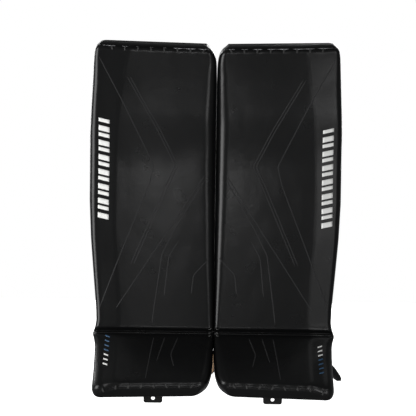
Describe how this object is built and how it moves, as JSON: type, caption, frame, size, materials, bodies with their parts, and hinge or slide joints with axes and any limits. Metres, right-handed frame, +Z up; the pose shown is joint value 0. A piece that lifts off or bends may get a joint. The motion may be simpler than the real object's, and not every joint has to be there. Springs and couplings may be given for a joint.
{
  "type": "goalie leg pads",
  "caption": "Pair of tall padded leg guards for an ice hockey goalkeeper, with flexing boots, side wings, straps and toe tabs.",
  "frame": {"origin": "midway between the two legs, at knee height, on the plane of the pads' back faces", "axes": "+Z up along the legs, -Y the way the pads face, +X towards the wearer's left leg"},
  "size_m": [0.554, 0.3189, 0.7766],
  "materials": {
    "face_leather": "smooth synthetic leather, satin gloss, fine grain",
    "boot_leather": "smooth synthetic leather, satin gloss, fine grain",
    "foam": "closed-cell foam, matt",
    "stiffener": "white polyethylene sheet",
    "liner": "woven nylon lining",
    "binding": "folded leather binding, stitched",
    "lace": "flat leather lace",
    "block_cover": "synthetic leather over foam",
    "cradle": "brushed nylon over soft foam",
    "loop_patch": "hook-and-loop fastener, loop side",
    "wing": "synthetic leather over stiff foam",
    "elastic": "ribbed elastic webbing",
    "strap_leather": "black leather, tan flesh side",
    "hardware": "moulded nylon",
    "steel": "nickel-plated steel"
  },
  "bodies": {
    "right_pad": {"right_face_skin": "face_leather", "right_foam_core": "foam", "right_back_liner": "liner", "right_stiffener": "stiffener", "right_top_binding": "binding", "right_top_lacing": "lace", "right_knee_stack": "block_cover", "right_knee_block": "block_cover", "right_calf_block": "block_cover", "right_leg_cradle": "cradle", "right_loop_patches": "loop_patch"},
    "right_boot": {"right_boot_skin": "boot_leather", "right_boot_core": "foam", "right_boot_liner": "liner", "right_toe_binding": "binding", "right_toe_lacing": "lace", "right_toe_bridge": "hardware", "right_toe_pin": "steel", "right_strap_brackets": "hardware", "right_rivets": "steel"},
    "right_toe_link": {"right_toe_link": "hardware"},
    "right_knee_wing": {"right_knee_wing": "wing"},
    "right_calf_wing": {"right_calf_wing": "wing"},
    "right_knee_strap": {"right_knee_strap": "elastic"},
    "right_calf_strap_upper": {"right_calf_strap_upper": "elastic"},
    "right_calf_strap_lower": {"right_calf_strap_lower": "elastic"},
    "right_boot_strap": {"right_boot_strap": "strap_leather", "right_buckle_tab": "strap_leather", "right_buckle_frame": "hardware"},
    "left_pad": {"left_face_skin": "face_leather", "left_foam_core": "foam", "left_back_liner": "liner", "left_stiffener": "stiffener", "left_top_binding": "binding", "left_top_lacing": "lace", "left_knee_stack": "block_cover", "left_knee_block": "block_cover", "left_calf_block": "block_cover", "left_leg_cradle": "cradle", "left_loop_patches": "loop_patch"},
    "left_boot": {"left_boot_skin": "boot_leather", "left_boot_core": "foam", "left_boot_liner": "liner", "left_toe_binding": "binding", "left_toe_lacing": "lace", "left_toe_bridge": "hardware", "left_toe_pin": "steel", "left_strap_brackets": "hardware", "left_rivets": "steel"},
    "left_toe_link": {"left_toe_link": "hardware"},
    "left_knee_wing": {"left_knee_wing": "wing"},
    "left_calf_wing": {"left_calf_wing": "wing"},
    "left_knee_strap": {"left_knee_strap": "elastic"},
    "left_calf_strap_upper": {"left_calf_strap_upper": "elastic"},
    "left_calf_strap_lower": {"left_calf_strap_lower": "elastic"},
    "left_boot_strap": {"left_boot_strap": "strap_leather", "left_buckle_tab": "strap_leather", "left_buckle_frame": "hardware"}
  },
  "joints": [
    {"name": "right_boot_flex", "type": "hinge", "parent": "right_pad", "child": "right_boot", "pos_m": [-0.129, -0.021, -0.33046], "axis": [-1, 0, 0], "range_deg": [-8, 10], "stiffness_Nm_per_rad": 25},
    {"name": "right_toe_swing", "type": "hinge", "parent": "right_boot", "child": "right_toe_link", "pos_m": [-0.127, -0.12809, -0.44374], "axis": [1, 0, 0], "range_deg": [-40, 100]},
    {"name": "right_knee_wing_open", "type": "hinge", "parent": "right_pad", "child": "right_knee_wing", "pos_m": [-0.25, 0.0092, 0], "axis": [0, 0, 1], "range_deg": [0, 60], "stiffness_Nm_per_rad": 0.8},
    {"name": "right_calf_wing_open", "type": "hinge", "parent": "right_pad", "child": "right_calf_wing", "pos_m": [-0.232, 0.0092, -0.2], "axis": [0, 0, 1], "range_deg": [0, 60], "stiffness_Nm_per_rad": 0.8},
    {"name": "right_knee_strap_peel", "type": "hinge", "parent": "right_knee_wing", "child": "right_knee_strap", "pos_m": [-0.246, 0.117, 0.01], "axis": [0, 0, 1], "range_deg": [0, 90]},
    {"name": "right_calf_strap_upper_peel", "type": "hinge", "parent": "right_calf_wing", "child": "right_calf_strap_upper", "pos_m": [-0.228, 0.112, -0.152], "axis": [0, 0, 1], "range_deg": [0, 90]},
    {"name": "right_calf_strap_lower_peel", "type": "hinge", "parent": "right_calf_wing", "child": "right_calf_strap_lower", "pos_m": [-0.228, 0.112, -0.25], "axis": [0, 0, 1], "range_deg": [0, 90]},
    {"name": "right_boot_strap_swing", "type": "hinge", "parent": "right_boot", "child": "right_boot_strap", "pos_m": [-0.124, 0.004, -0.352], "axis": [1, 0, 0], "range_deg": [-25, 85]},
    {"name": "left_boot_flex", "type": "hinge", "parent": "left_pad", "child": "left_boot", "pos_m": [0.129, -0.021, -0.33046], "axis": [-1, 0, 0], "range_deg": [-8, 10], "stiffness_Nm_per_rad": 25},
    {"name": "left_toe_swing", "type": "hinge", "parent": "left_boot", "child": "left_toe_link", "pos_m": [0.127, -0.12809, -0.44374], "axis": [1, 0, 0], "range_deg": [-40, 100]},
    {"name": "left_knee_wing_open", "type": "hinge", "parent": "left_pad", "child": "left_knee_wing", "pos_m": [0.25, 0.0092, 0], "axis": [0, 0, -1], "range_deg": [0, 60], "stiffness_Nm_per_rad": 0.8},
    {"name": "left_calf_wing_open", "type": "hinge", "parent": "left_pad", "child": "left_calf_wing", "pos_m": [0.232, 0.0092, -0.2], "axis": [0, 0, -1], "range_deg": [0, 60], "stiffness_Nm_per_rad": 0.8},
    {"name": "left_knee_strap_peel", "type": "hinge", "parent": "left_knee_wing", "child": "left_knee_strap", "pos_m": [0.246, 0.117, 0.01], "axis": [0, 0, -1], "range_deg": [0, 90]},
    {"name": "left_calf_strap_upper_peel", "type": "hinge", "parent": "left_calf_wing", "child": "left_calf_strap_upper", "pos_m": [0.228, 0.112, -0.152], "axis": [0, 0, -1], "range_deg": [0, 90]},
    {"name": "left_calf_strap_lower_peel", "type": "hinge", "parent": "left_calf_wing", "child": "left_calf_strap_lower", "pos_m": [0.228, 0.112, -0.25], "axis": [0, 0, -1], "range_deg": [0, 90]},
    {"name": "left_boot_strap_swing", "type": "hinge", "parent": "left_boot", "child": "left_boot_strap", "pos_m": [0.124, 0.004, -0.352], "axis": [1, 0, 0], "range_deg": [-25, 85]},
    {"name": "left_pad_apart", "type": "slide", "parent": "right_pad", "child": "left_pad", "axis": [1, 0, 0], "range_m": [0, 0.25]}
  ]
}
